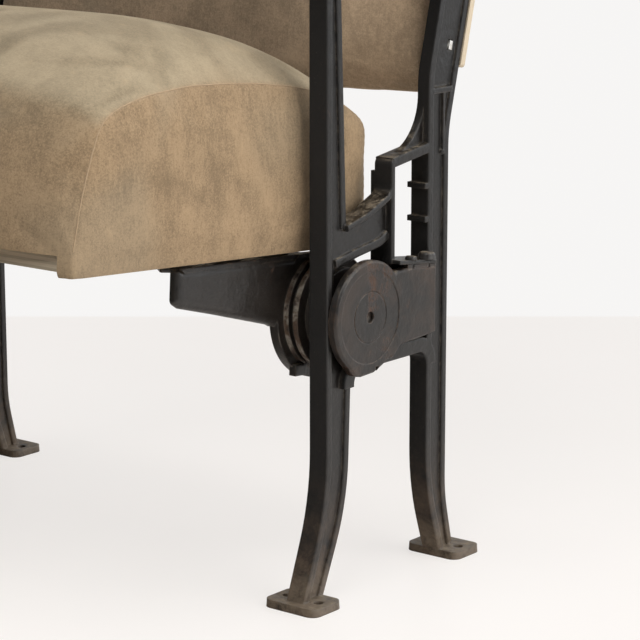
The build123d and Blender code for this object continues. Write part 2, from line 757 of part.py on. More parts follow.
def dished_slab(half_width, y_low, y_high, z_low, z_high):
    """A slab of even thickness that follows the bent board."""
    path = dished_path()
    frame = Plane(origin=path @ 0, x_dir=(0, 0, 1), z_dir=path % 0)
    place = Pos((z_low + z_high) / 2, -(y_low + y_high) / 2)
    section = frame * place * Rectangle(z_high - z_low, y_high - y_low)
    return between(half_width, sweep(section, path=path))


def backboard():
    """Bent plywood board across the rear faces of both standards."""
    half = half_pitch + backboard_over
    board = dished_slab(half, 0.0, board_thick, backboard_low, backboard_low + backboard_h)
    shape = Plane.XZ * Pos(0, backboard_low + backboard_h / 2) * RectangleRounded(
        2 * half, backboard_h, backboard_corner_r)
    board &= extrude(shape, amount=4 * back_dish, both=True)
    for x in (-half_pitch, half_pitch):
        for z in back_bolt_z:
            hole = Cylinder(back_bolt_r, 4 * board_thick) + bolt_sink(seat_gap)
            board -= Pos(x, board_thick, z) * Rot(90, 0, 0) * hole
    return raked(board - back_screw_holes())


def pad_board():
    """Inner plywood board that carries the upholstery."""
    half = back_half_w - board_margin
    rear = -back_skin - cloth_gap
    board = dished_slab(half, rear - pad_board_t, rear, back_low + pad_edge, back_high - pad_edge)
    return raked(board - back_screw_holes())


def pad_solid(inset):
    """Padded back: flat behind, crowned in front, with rounded edges."""
    half = back_half_w - inset
    path = dished_path()
    low, high = back_low + inset, back_high - inset
    rear = -cloth_gap - inset
    turn = -cloth_gap - back_skin - pad_board_t
    front = turn - back_pad_t + inset
    middle = (low + high) / 2
    face_low, face_high = low + pad_low_r, high - pad_high_r
    front_arc = ThreePointArc((face_low, front), (middle, front - back_crown), (face_high, front))
    top_arc = TangentArc((face_high, front), (high, turn), tangent=front_arc % 1)
    low_arc = TangentArc((face_low, front), (low, turn), tangent=-(front_arc % 0))
    rest = Polyline((high, turn), (high, rear), (low, rear), (low, turn))
    section = make_face(front_arc + top_arc + rest + low_arc)
    frame = Plane(origin=path @ 0, x_dir=(0, 0, 1), z_dir=path % 0)
    return between(half, sweep(frame * mirror(section, about=Plane.XZ), path=path))


def back_cover():
    """Fabric skin of the back, open where the inner board lies."""
    out = pad_solid(0.0) - pad_solid(cover_t)
    half = back_half_w - 2 * hem
    out -= dished_slab(half, -pad_board_t / 2, 20.0, back_low + 2 * hem, back_high - 2 * hem)
    return raked(out)


def back_filling():
    """Stuffing in front of the inner board."""
    out = pad_solid(cover_t + cloth_gap)
    front = -back_skin - 2 * cloth_gap - pad_board_t
    out -= dished_slab(back_half_w + 5.0, front, 30.0, back_low - 30.0, back_high + 30.0)
    return raked(out)


def back_screw_frames():
    """Frames of the screws between the two boards, square to the bent board."""
    path = dished_path()
    frames = []
    for x in (-back_screw_x, 0.0, back_screw_x):
        share = 0.5 + x / (2 * (half_pitch + dish_margin))
        point, run = path @ share, path % share
        turn = math.degrees(math.atan2(run.Y, run.X))
        frames += [Pos(point.X, point.Y, z) * Rot(0, 0, turn) * Rot(90, 0, 0) for z in back_screw_z]
    return frames


def back_screw_holes():
    """Holes for those screws, through one board and into the other."""
    holes = Part()
    for frame in back_screw_frames():
        holes += frame * Cylinder(screw_r, 2 * (board_thick + pad_board_t))
    return holes


def back_screws():
    """Dome-headed screws from behind through the backboard into the inner board."""
    out = Part()
    head_r = 2.4 * screw_r
    for frame in back_screw_frames():
        shank = extrude(Circle(screw_r), board_thick + back_skin + pad_board_t - 1.0)
        dome = Sphere(head_r) & Pos(0, 0, -head_r) * Box(4 * head_r, 4 * head_r, 2 * head_r)
        out += frame * Pos(0, 0, -board_thick) * (shank + Pos(0, 0, -seat_gap) * dome)
    return raked(out)


def bolt_sink(gap):
    """Countersunk head of a back bolt, or the room for it, into the board from z 0."""
    return Pos(0, 0, back_head_t / 2) * Cone(
        2 * back_bolt_r + gap, back_bolt_r + gap, back_head_t)


def back_bolts():
    """Countersunk bolts through the board and the standards' rear uprights."""
    out = Part()
    for x in (-half_pitch, half_pitch):
        for z in back_bolt_z:
            shank = extrude(Circle(back_bolt_r), board_thick + nut_seat + back_nut_t + 1.5)
            out += Pos(x, board_thick, z) * Rot(90, 0, 0) * (shank + bolt_sink(0.0))
    return raked(out)


def back_nuts():
    """Square nuts in the standards' side openings."""
    out = Part()
    for x in (-half_pitch, half_pitch):
        for z in back_bolt_z:
            nut = extrude(Rectangle(back_nut_w, back_nut_w), back_nut_t)
            nut -= Cylinder(back_bolt_r, 4 * back_nut_t)
            out += Pos(x, -nut_seat, z) * Rot(90, 0, 0) * nut
    return raked(out)


# ------------------------------------------------------------------- armrests

def armrest():
    """Wooden armrest with rounded ends and edges."""
    low = arm_z + arm_plate_t
    rear = min(front_line_y(low), back_front_y(low)) - armrest_gap
    length = rear - armrest_front_y
    body = extrude(RectangleRounded(armrest_w, length, armrest_corner_r), armrest_t)
    body = fillet(body.faces().sort_by(Axis.Z)[-1].edges(), armrest_edge_r)
    out = Pos(0, armrest_front_y + length / 2, low) * body
    for y in armrest_screw_y:
        out -= Pos(0, y, low) * Cylinder(screw_r, 2 * armrest_bite)
    return out


def armrest_screws():
    """Screws up through the arm plate into the armrest."""
    out = Part()
    base = arm_z - flange_t
    for y in armrest_screw_y:
        length = flange_t + arm_plate_t + armrest_bite - 1.0
        out += Pos(0, y, base) * extrude(Circle(screw_r), length)
        out += Pos(0, y, base - 2.0) * extrude(Circle(2 * screw_r), 2.0)
    return out


def cover_bolts():
    """Two round-headed bolts down through the ledge into the hinge cover's lip."""
    out = Part()
    for frame, radius, height in zip(ledge_frames(), cover_head_r, cover_head_h):
        shank = Pos(0, 0, 1.0 - cover_bolt_l) * extrude(Circle(cover_bolt_r), cover_bolt_l)
        head = extrude(Circle(radius), height, taper=12.0)
        head = fillet(head.faces().sort_by(Axis.Z)[-1].edges(), 0.45 * height)
        out += frame * (shank + head)
    return out


# --------------------------------------------------------------------- output

def write(name, solid):
    """One file for one piece."""
    export_step(solid, f"parts/{name}.step")


def main():
    os.makedirs("parts", exist_ok=True)
    paired = {
        "standard": standard(),
        "hinge_cover": hinge_cover(),
        "cover_bolts": cover_bolts(),
        "hinge_disc": hinge_disc(),
        "disc_rivets": disc_rivets(),
        "stop_buffers": stop_buffers(),
        "pivot_bolt": pivot_bolt(),
        "pivot_washer": pivot_washer(),
        "pivot_nut": pivot_nut(),
        "pivot_bush": pivot_bush(),
        "armrest": armrest(),
        "armrest_screws": armrest_screws(),
    }
    paired["seat_arm"] = seat_arm()
    paired["seat_arm_screws"] = arm_screws()
    for name, solid in paired.items():
        left, right = both_sides(solid)
        write(f"left_{name}", left)
        write(f"right_{name}", right)
    write("seat_board", seat_board())
    write("seat_cover", seat_cover())
    write("seat_filling", seat_filling())
    write("seat_studs", seat_studs())
    write("backboard", backboard())
    write("back_pad_board", pad_board())
    write("back_cover", back_cover())
    write("back_filling", back_filling())
    write("back_screws", back_screws())
    write("back_bolts", back_bolts())
    write("back_nuts", back_nuts())


main()
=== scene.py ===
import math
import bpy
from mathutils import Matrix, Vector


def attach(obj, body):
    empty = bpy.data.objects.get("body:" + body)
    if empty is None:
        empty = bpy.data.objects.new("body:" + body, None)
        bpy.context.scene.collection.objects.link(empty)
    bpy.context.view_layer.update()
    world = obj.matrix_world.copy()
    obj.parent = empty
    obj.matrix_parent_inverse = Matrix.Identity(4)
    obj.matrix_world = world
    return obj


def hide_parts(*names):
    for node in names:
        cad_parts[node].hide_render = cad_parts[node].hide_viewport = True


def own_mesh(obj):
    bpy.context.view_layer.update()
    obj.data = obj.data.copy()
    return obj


bl_info = {
    "name": "Tip-up auditorium seat",
    "version": (1, 0, 0),
    "blender": (4, 5, 0),
    "location": "3D View > Sidebar > Seat",
    "description": "Dresses a tip-up auditorium seat in velvet, worn cast iron and plywood, in a studio",
    "category": "Object",
}

import bmesh
import bpy
import numpy as np
from mathutils.bvhtree import BVHTree

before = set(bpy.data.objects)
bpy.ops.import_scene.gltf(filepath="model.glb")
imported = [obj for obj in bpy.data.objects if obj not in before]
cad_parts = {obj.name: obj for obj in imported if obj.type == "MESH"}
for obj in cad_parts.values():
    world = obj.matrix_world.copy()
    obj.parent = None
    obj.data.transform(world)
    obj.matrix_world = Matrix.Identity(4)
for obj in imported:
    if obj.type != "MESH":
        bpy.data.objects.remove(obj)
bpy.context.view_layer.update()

# The hinge axis, the two slopes that the seat is built on and the foot of its back,
# in metres and radians.
PIVOT = np.array([0.0, -0.032, 0.2465])
SEAT_TILT = math.radians(3.8)
BACK_RAKE = math.radians(14.5)
BACK_FOOT = np.array([0.0, 0.11248, 0.450])

# The cushion's side seam about the hinge, drawn level: (rearward, up), in metres.
SEAT_SEAM = np.array([
    (-0.3290, 0.0565), (-0.3292, 0.0750), (-0.3258, 0.1000), (-0.3220, 0.1180), (-0.3155, 0.1400),
    (-0.3070, 0.1650), (-0.2995, 0.1780), (-0.2850, 0.1865), (-0.2520, 0.1965), (-0.2010, 0.2030),
    (-0.1480, 0.2045), (-0.1060, 0.2030), (-0.0600, 0.1995), (-0.0200, 0.1920), (0.0080, 0.1820),
    (0.0270, 0.1735), (0.0385, 0.1640), (0.0425, 0.1480), (0.0435, 0.1000), (0.0435, 0.0565),
])

# Heights from the hinge: the seam's top, how far the skin reaches under the seam's
# ends, the board's two faces and the cushion's floor.
SEAM_TOP = 0.2045
SEAM_DROP = 0.0045
BOARD_TOP = 0.0728
BOARD_LOW = 0.0603
CUSHION_LOW = 0.0560

# The cushion's half width and its ends from the hinge, and how far inside them the
# board stops.
CUSHION_HALF = 0.265
CUSHION_FRONT = -0.333
CUSHION_REAR = 0.044
BOARD_MARGIN = 0.0065

# Directions of the object, and the tone that the camera sees behind it.
UP = (0.0, 0.0, 1.0)
FORWARD = (0.0, -1.0, 0.0)
SIDEWAYS = (1.0, 0.0, 0.0)
WALL_TONE = (0.925, 0.915, 0.905)

# The photograph's camera, fitted to points of the seat: metres, degrees and pixels.
CAMERA_PLACE = (1.558, -1.684, 0.6908)
CAMERA_TURN = (77.85, 0.0, 38.44)
FOCAL_PIXELS = 2458.0
PICTURE_PIXELS = 640.0
SENSOR_MM = 36.0


# ---------------------------------------------------------------- shader maths

class Value:
    """A number in a shader. Arithmetic on it adds Math nodes."""

    def __init__(self, recipe, socket):
        self.recipe = recipe
        self.socket = socket

    def _math(self, operation, a, b=0.0):
        return self.recipe.node("ShaderNodeMath", {"operation": operation}, {0: a, 1: b})

    def __add__(self, other):
        return self._math("ADD", self, other)

    def __radd__(self, other):
        return self._math("ADD", other, self)

    def __sub__(self, other):
        return self._math("SUBTRACT", self, other)

    def __rsub__(self, other):
        return self._math("SUBTRACT", other, self)

    def __mul__(self, other):
        return self._math("MULTIPLY", self, other)

    def __rmul__(self, other):
        return self._math("MULTIPLY", other, self)

    def most(self, other):
        return self._math("MAXIMUM", self, other)

    def size(self):
        return self._math("ABSOLUTE", self)

    def wave(self):
        return self._math("SINE", self)


class Recipe:
    """One material, or the world, written as a chain of nodes."""

    def __init__(self, name, owner=None):
        self.owner = owner or bpy.data.materials.new(name)
        self.owner.use_nodes = True
        self.tree = self.owner.node_tree
        self.tree.nodes.clear()
        self.place = self.node("ShaderNodeTexCoord", out="Object")

    def node(self, kind, settings=None, inputs=None, out=0):
        """Adds a node: its settings first, then the values or links of its sockets."""
        node = self.tree.nodes.new(kind)
        for key, setting in (settings or {}).items():
            setattr(node, key, setting)
        for key, value in (inputs or {}).items():
            socket = node.inputs[key]
            if isinstance(value, Value):
                self.tree.links.new(value.socket, socket)
            elif hasattr(value, "__len__") and len(value) == 3 and socket.type == "RGBA":
                socket.default_value = (*value, 1.0)
            else:
                socket.default_value = value
        return Value(self, node.outputs[out])

    def stretched(self, scale, turn=(0.0, 0.0, 0.0)):
        """Object coordinates, turned and then stretched by a scale per axis."""
        turned = self.node("ShaderNodeMapping", None, {"Vector": self.place, "Rotation": turn}, "Vector")
        return self.node("ShaderNodeMapping", None, {"Vector": turned, "Scale": scale}, "Vector")

    def noise(self, scale, detail=3.0, roughness=0.55, bend=0.0, at=None):
        """Fractal noise about 0.5, with scale in features per metre."""
        return self.node("ShaderNodeTexNoise", None, {
            "Vector": at or self.place, "Scale": scale, "Detail": detail,
            "Roughness": roughness, "Distortion": bend}, "Fac")

    def step(self, value, low, high):
        """A smooth step from 0 below low to 1 above high."""
        return self.node("ShaderNodeMapRange", {"interpolation_type": "SMOOTHSTEP"}, {
            "Value": value, "From Min": low, "From Max": high}, "Result")

    def mix(self, share, first, second):
        """Two colours mixed by a share."""
        node = self.tree.nodes.new("ShaderNodeMix")
        node.data_type = "RGBA"
        node.clamp_factor = True
        for index, value in ((0, share), (6, first), (7, second)):
            if isinstance(value, Value):
                self.tree.links.new(value.socket, node.inputs[index])
            elif index:
                node.inputs[index].default_value = (*value, 1.0)
            else:
                node.inputs[index].default_value = value
        return Value(self, node.outputs[2])

    def along(self, vector, axis):
        """How far a direction or a place goes along an axis."""
        return self.node("ShaderNodeVectorMath", {"operation": "DOT_PRODUCT"},
                         {0: vector, 1: axis}, "Value")

    def facing(self, axis):
        """How far the surface faces along an axis of the object, from -1 to 1."""
        return self.along(self.node("ShaderNodeTexCoord", out="Normal"), axis)

    def height(self, axis=UP):
        """Distance along an axis of the object from its origin, in metres."""
        return self.along(self.place, axis)

    def rounded(self, radius):
        """The surface's direction with its edges and corners rounded by a radius."""
        return self.node("ShaderNodeBevel", {"samples": 6}, {"Radius": radius}, "Normal")

    def edges(self, rounded):
        """1 on edges and corners, 0 on flat ground, from a rounded direction."""
        plain = self.node("ShaderNodeNewGeometry", out="Normal")
        return self.step(1.0 - self.along(rounded, plain), 0.02, 0.22)

    def hollows(self, distance):
        """1 in corners and creases narrower than a distance, 0 on open ground."""
        open_sky = self.node("ShaderNodeAmbientOcclusion", {"samples": 6, "only_local": True},
                             {"Distance": distance}, "AO")
        return self.step(open_sky, 0.75, 0.35)

    def from_hinge(self):
        """The place measured from the hinge."""
        return self.node("ShaderNodeVectorMath", {"operation": "SUBTRACT"},
                         {0: self.place, 1: tuple(PIVOT)}, "Vector")

    def hinge_reach(self):
        """Distance from the hinge axis, in metres."""
        across = self.node("ShaderNodeVectorMath", {"operation": "MULTIPLY"},
                           {0: self.from_hinge(), 1: (0.0, 1.0, 1.0)}, "Vector")
        return self.node("ShaderNodeVectorMath", {"operation": "LENGTH"}, {0: across}, "Value")

    def drum_rim(self):
        """1 on the bright band that the drum's halves rub on each other."""
        reach = self.hinge_reach()
        return self.step(reach, 0.0495, 0.0503) * self.step(reach, 0.0522, 0.0514)

    def bump(self, height, distance, strength, base=None):
        """A rough direction from a height from 0 to 1, and its full rise in metres."""
        inputs = {"Height": height, "Distance": distance, "Strength": strength}
        if base is not None:
            inputs["Normal"] = base
        return self.node("ShaderNodeBump", None, inputs, "Normal")

    def finish(self, colour, roughness, normal, metallic=0.0, **constants):
        """The closing surface. Constants go on its sockets directly."""
        inputs = {"Base Color": colour, "Roughness": roughness, "Normal": normal, "Metallic": metallic}
        for key, value in constants.items():
            inputs[key.replace("_", " ").title().replace("Ior", "IOR")] = value
        return self.close(self.node("ShaderNodeBsdfPrincipled", None, inputs, "BSDF"))

    def blend_close(self, share, first, second, output="ShaderNodeOutputMaterial"):
        """Closes on two shaders mixed by a share."""
        inputs = {0: share, 1: first, 2: second}
        return self.close(self.node("ShaderNodeMixShader", None, inputs, "Shader"), output)

    def close(self, shader, output="ShaderNodeOutputMaterial"):
        """Leads a shader to the output, and gives back what the recipe is for."""
        end = self.tree.nodes.new(output)
        self.tree.links.new(shader.socket, end.inputs["Surface"])
        return self.owner


def shade(rgb, factor):
    """A colour made lighter or darker by a factor."""
    return tuple(min(1.0, channel * factor) for channel in rgb)


# ------------------------------------------------------------------- materials

def make_velvet(name, nap, patch_size, top_light_share):
    """Brushed velvet: broad soft sweeps of nap, a crossed grain of fine streaks, a
    short pile in the bump, painted paler and greyer on what faces up as painted top light and sheen, and
    a sheen at its edges.
    Where no top light is painted, on the back, the side towards +X is painted paler as light from that
    side."""
    r = Recipe(name)
    sweeps = r.noise(1.0 / patch_size, 3.0, 0.5, 2.2)
    blotches = r.noise(34.0, 4.0, 0.62, 0.5)
    cross = r.noise(1.0, 5.0, 0.68, at=r.stretched((300.0, 300.0, 60.0)))
    along = r.noise(1.0, 5.0, 0.68, at=r.stretched((60.0, 300.0, 300.0), (0.0, 0.0, 0.35)))
    streaks = cross * 0.5 + along * 0.5
    pile = r.noise(620.0, 4.0, 0.7)
    tone = (sweeps - 0.5) * 0.85 + (blotches - 0.5) * 0.65 + (streaks - 0.5) * 0.95 + (pile - 0.5) * 1.05
    share = r.step(tone + 0.5, 0.10, 0.90)
    colour = r.mix(share, shade(nap, 0.62), shade(nap, 1.28))
    grey = r.step(r.noise(5.0, 2.0, 0.5, 0.8), 0.42, 0.68)
    colour = r.mix(grey * 0.22, colour, (0.30, 0.27, 0.20))
    if not top_light_share:
        # Painted light: the back's side towards +X is painted paler, as light falling from that side.
        painted_light_side = r.step(r.height(SIDEWAYS), 0.07, 0.21)
        colour = r.mix(painted_light_side, colour, r.mix(share, shade(nap, 1.35), shade(nap, 2.5)))
    # Painted top light and sheen: what faces up is painted paler and greyer than the nap.
    painted_top_light = r.step(r.facing(UP), 0.35, 0.85) * top_light_share
    arcs = r.step(r.noise(7.0, 1.5, 0.4, 2.6), 0.40, 0.58)
    painted_top_nap = r.mix(share * 0.55 + arcs * 0.45, (0.200, 0.165, 0.108), (0.400, 0.333, 0.228))
    colour = r.mix(painted_top_light, colour, painted_top_nap)
    crushed = r.step(r.noise(80.0, 3.0, 0.6, 0.6, at=r.stretched((1.0, 1.0, 0.30))), 0.60, 0.74)
    colour = r.mix(crushed * 0.16, colour, shade(nap, 1.6))
    normal = r.bump(pile * 0.6 + streaks * 0.5 + blotches * 0.4, 0.0007, 0.6)
    return r.finish(colour, 0.86 + share * 0.08, normal, sheen_weight=0.40, sheen_roughness=0.42,
                    sheen_tint=(0.80, 0.70, 0.55, 1.0), specular_ior_level=0.18)


def make_seam(name, nap):
    """The cut edge of the velvet where it is sewn: painted paler as a highlight along its ridge, with
    stitches along it.
    """
    r = Recipe(name)
    twist = r.noise(420.0, 2.0, 0.5)
    # Painted highlight: the seam's colour runs paler than the nap.
    colour = r.mix(twist, shade(nap, 0.95), shade(nap, 1.45))
    return r.finish(colour, 0.8, r.bump(twist, 0.0004, 0.6), sheen_weight=0.2)


def make_iron(name, paint, rust_amount, dust_amount, wear, round_r,
              rubbed=(0.105, 0.086, 0.068), rim=False, stained=0.0):
    """Old black gloss on a rough casting: soft cast edges, orange-peel bump, rust in
    patches, edges rubbed to bare metal, pale dust in creases and on what faces up,
    a brown film that thickens towards the floor and trodden dirt on the feet. A rim
    has the band that the drum rubs bright, and a stain spreads around the hinge."""
    r = Recipe(name)
    skin = r.noise(260.0, 4.0, 0.6)
    lumps = r.noise(55.0, 3.0, 0.5, 0.3)
    grime = r.noise(14.0, 5.0, 0.65, 0.5)
    soft = r.rounded(round_r)
    colour = r.mix(r.step(grime, 0.35, 0.7), shade(paint, 0.7), shade(paint, 1.5))
    speck = r.step(r.noise(520.0, 2.0, 0.5), 0.68, 0.74)
    colour = r.mix(speck * 0.14, colour, (0.12, 0.10, 0.08))
    rub = r.edges(soft) * r.step(r.noise(90.0, 4.0, 0.7), 0.42, 0.62)
    colour = r.mix(rub * wear, colour, rubbed)
    if rim:
        bright = r.step(r.noise(48.0, 4.0, 0.7), 0.42, 0.60)
        bare = r.mix(bright, (0.075, 0.045, 0.028), (0.260, 0.232, 0.190))
        colour = r.mix(r.drum_rim() * r.step(r.noise(95.0, 4.0, 0.7), 0.30, 0.55), colour, bare)
    if stained:
        around = r.step(r.hinge_reach(), 0.014, 0.044)
        ring = r.step(r.noise(26.0, 5.0, 0.7, 0.6), 0.40, 0.68) * around
        colour = r.mix(ring * stained, colour, (0.060, 0.036, 0.023))

    patch = r.step(r.noise(17.0, 5.0, 0.72, 0.8), 0.66 - rust_amount, 0.80 - rust_amount)
    rust = patch * r.step(r.noise(210.0, 5.0, 0.7), 0.42, 0.62)
    flakes = r.mix(r.noise(340.0, 3.0, 0.6), (0.040, 0.019, 0.010), (0.135, 0.062, 0.030))
    colour = r.mix(rust * 0.75, colour, flakes)
    low = r.step(r.height(), 0.130, 0.004) * r.step(r.noise(38.0, 5.0, 0.7, 0.5), 0.30, 0.66)
    film = r.mix(r.noise(160.0, 4.0, 0.7), (0.030, 0.020, 0.014), (0.175, 0.122, 0.084))
    colour = r.mix(low * 0.85, colour, film)
    trodden = r.step(r.height(), 0.045, 0.010) * r.step(r.noise(75.0, 5.0, 0.75, 0.4), 0.26, 0.58)
    dirt = r.mix(r.noise(230.0, 4.0, 0.7), (0.085, 0.060, 0.042), (0.240, 0.190, 0.135))
    colour = r.mix(trodden * 0.8, colour, dirt)
    grit = r.step(r.noise(130.0, 6.0, 0.75, 0.3), 0.56 - dust_amount, 0.86 - dust_amount)
    settled = r.step(r.facing(UP), 0.35, 0.92) * grit
    caught = r.hollows(0.009) * r.step(r.noise(60.0, 5.0, 0.75), 0.36, 0.72) * 0.32
    dust = (settled * 0.8).most(caught)
    colour = r.mix(dust, colour, (0.30, 0.245, 0.175))

    scuffed = r.step(r.facing(FORWARD), 0.75, 0.97)
    rough = 0.24 + grime * 0.18 + rust * 0.34 + low * 0.25 + dust * 0.55 - rub * 0.04 + scuffed * 0.6
    normal = r.bump(skin * 0.6 + lumps * 2.1 - rust * 0.5 + dust * 0.5, 0.0009, 0.62, soft)
    return r.finish(colour, rough, normal, specular_ior_level=0.55)


def make_steel(name, bright, dull):
    """Old zinc plate: dulled, with brown in patches."""
    r = Recipe(name)
    dirt = r.step(r.noise(90.0, 4.0, 0.65), 0.42, 0.66)
    colour = r.mix(dirt, bright, dull)
    normal = r.bump(r.noise(600.0, 3.0, 0.6), 0.0003, 0.4)
    return r.finish(colour, 0.32 + dirt * 0.3, normal, metallic=0.85)


def make_rubber(name):
    """Black rubber, a little grey with age."""
    r = Recipe(name)
    skin = r.noise(700.0, 3.0, 0.6)
    colour = r.mix(r.noise(40.0), (0.018, 0.018, 0.018), (0.04, 0.038, 0.036))
    return r.finish(colour, 0.75, r.bump(skin, 0.0003, 0.5))


def make_bronze(name):
    """Bronze, darkened in patches by old oil."""
    r = Recipe(name)
    oil = r.step(r.noise(120.0, 4.0, 0.6), 0.4, 0.65)
    colour = r.mix(oil, (0.52, 0.36, 0.17), (0.20, 0.12, 0.06))
    return r.finish(colour, 0.3 + oil * 0.2, r.bump(oil, 0.0002, 0.4), metallic=0.9)


def make_timber(name, light, dark, gloss, grain_axis, tilt=0.0):
    """Wood with its grain along one axis: long fibres, wavering growth bands and
    short pores. A gloss over 0.5 is bare wood, and under it has a coat of varnish."""
    r = Recipe(name)
    long, fine = 7.0, 260.0
    scale = [fine if i != grain_axis else long for i in range(3)]
    turn = (tilt, 0.0, 0.0)
    fibres = r.noise(1.0, 4.0, 0.6, at=r.stretched(scale, turn))
    bands = r.noise(1.0, 3.0, 0.55, 0.8, r.stretched([s * 0.11 for s in scale], turn))
    short = r.noise(1.0, 2.0, 0.6, at=r.stretched([s * 3.4 for s in scale], turn))
    pores = r.step(short, 0.60, 0.70)
    tone = fibres * 0.45 + bands * 0.75 - 0.1
    colour = r.mix(r.step(tone, 0.2, 0.8), dark, light)
    colour = r.mix(pores * 0.35, colour, shade(dark, 0.45))
    height = fibres * 0.4 - pores * 0.6
    return r.finish(colour, gloss + fibres * 0.12, r.bump(height, 0.0003, 0.45),
                    coat_weight=0.0 if gloss > 0.5 else 0.35, coat_roughness=0.22)


def make_ply(name, light, dark, thickness, tilt, sheets):
    """Pale plywood: grain on its faces and, on its edges, sheets whose grain runs
    by turns along and across, told apart by their height in the board."""
    r = Recipe(name)
    turn = (tilt, 0.0, 0.0)
    face = r.noise(1.0, 4.0, 0.6, at=r.stretched((9.0, 190.0, 190.0), turn))
    bands = r.noise(1.0, 3.0, 0.5, 0.7, r.stretched((1.6, 26.0, 26.0), turn))
    tone = face * 0.5 + bands * 0.6
    colour = r.mix(r.step(tone, 0.25, 0.85), dark, light)
    layer = (board_height(r, tilt) * (math.pi * sheets / thickness)).wave()
    edge = r.step(r.facing((0.0, math.sin(tilt), math.cos(tilt))).size(), 0.9, 0.6)
    colour = r.mix(edge * r.step(layer, -0.1, 0.25) * 0.45, colour, shade(dark, 0.6))
    mark = r.step(r.noise(30.0, 4.0, 0.6), 0.6, 0.75)
    colour = r.mix(mark * 0.25, colour, shade(dark, 0.7))
    normal = r.bump(face * 0.4 + layer * edge * 0.3, 0.0004, 0.5)
    return r.finish(colour, 0.62 + face * 0.15, normal)


def board_height(r, tilt):
    """Height over the underside of a board that lies at a tilt about the hinge."""
    turned = r.node("ShaderNodeMapping", None, {
        "Vector": r.from_hinge(), "Rotation": (tilt, 0.0, 0.0)}, "Vector")
    return r.node("ShaderNodeSeparateXYZ", None, {0: turned}, "Z") - BOARD_LOW


# --------------------------------------------------------------------- shapes

def smooth_line(points, count):
    """A line through points, resampled evenly by length with Catmull-Rom spans:
    each span's weights are the four cubic basis functions of the fraction along it."""
    pts = np.vstack([2 * points[0] - points[1], points, 2 * points[-1] - points[-2]])
    t = np.linspace(0.0, 1.0, 24, endpoint=False)[:, None]
    a, b, c, d = (pts[i:len(pts) - 3 + i][:, None, :] for i in range(4))
    fine = 0.5 * (2 * b + (c - a) * t + (2 * a - 5 * b + 4 * c - d) * t ** 2
                  + (3 * b - a - 3 * c + d) * t ** 3)
    fine = np.vstack([fine.reshape(-1, points.shape[1]), points[-1:]])
    return spread(fine, count)


def spread(line, count):
    """The same line with points at equal steps of its length."""
    run = np.concatenate([[0.0], np.cumsum(np.linalg.norm(np.diff(line, axis=0), axis=1))])
    at = np.linspace(0.0, run[-1], count)
    return np.stack([np.interp(at, run, line[:, k]) for k in range(line.shape[1])], axis=1)


def grid_faces(rows, columns):
    """Quads between the points of a grid whose rows are closed rings."""
    i, j = np.meshgrid(np.arange(rows - 1), np.arange(columns), indexing="ij")
    k = (j + 1) % columns
    here, after = i * columns, (i + 1) * columns
    return np.stack([here + j, after + j, after + k, here + k], axis=-1).reshape(-1, 4)


def new_mesh_object(name, verts, faces, material):
    """A mesh object at the origin, from arrays of points and faces."""
    mesh = bpy.data.meshes.new(name)
    mesh.from_pydata(np.asarray(verts, dtype=float).tolist(), [], [list(map(int, f)) for f in faces])
    mesh.validate()
    mesh.polygons.foreach_set("use_smooth", np.ones(len(mesh.polygons), dtype=bool))
    mesh.materials.append(material)
    obj = bpy.data.objects.new(name, mesh)
    bpy.context.collection.objects.link(obj)
    return obj


def outward(obj):
    """Merges doubles and points the faces outwards."""
    bm = bmesh.new()
    bm.from_mesh(obj.data)
    bmesh.ops.remove_doubles(bm, verts=bm.verts, dist=1e-6)
    bmesh.ops.recalc_face_normals(bm, faces=bm.faces)
    bm.to_mesh(obj.data)
    bm.free()


def read_points(obj):
    """An object's points as one array."""
    points = np.empty(len(obj.data.vertices) * 3)
    obj.data.vertices.foreach_get("co", points)
    return points.reshape(-1, 3)


def write_points(obj, points):
    """Puts an array of points back into an object."""
    obj.data.vertices.foreach_set("co", points.ravel())
    obj.data.update()


def apply_modifiers(obj):
    """Bakes an object's modifiers into its mesh and keeps its material."""
    graph = bpy.context.evaluated_depsgraph_get()
    mesh = bpy.data.meshes.new_from_object(obj.evaluated_get(graph), depsgraph=graph)
    old = obj.data
    obj.modifiers.clear()
    obj.data = mesh
    bpy.data.meshes.remove(old)


def leaned(points, slope, foot):
    """Points (x, rearward, up) leaned back by a slope about X, then moved to a foot."""
    x, y, z = points.T
    c, s = math.cos(slope), math.sin(slope)
    return np.stack([x, y * c + z * s, z * c - y * s], axis=1) + foot


def seat_place(points):
    """From the level frame about the hinge to the seat's rest pose."""
    return leaned(points, SEAT_TILT, PIVOT)


def back_place(points):
    """From the upright frame on the back's foot to the raked back."""
    return leaned(points, BACK_RAKE, BACK_FOOT)


def dish(x):
    """Plan of the bent back: flat over the standards, and between them a hollow that
    is deepest in the middle, 0.5 + 0.5 cos(pi |x| / bend) of its depth."""
    half_pitch, margin, depth = 0.285, 0.060, 0.030
    bend = half_pitch - margin * 0.35
    share = np.clip(np.abs(x) / bend, 0.0, 1.0)
    return depth * 0.80 * (0.5 + 0.5 * np.cos(math.pi * share))


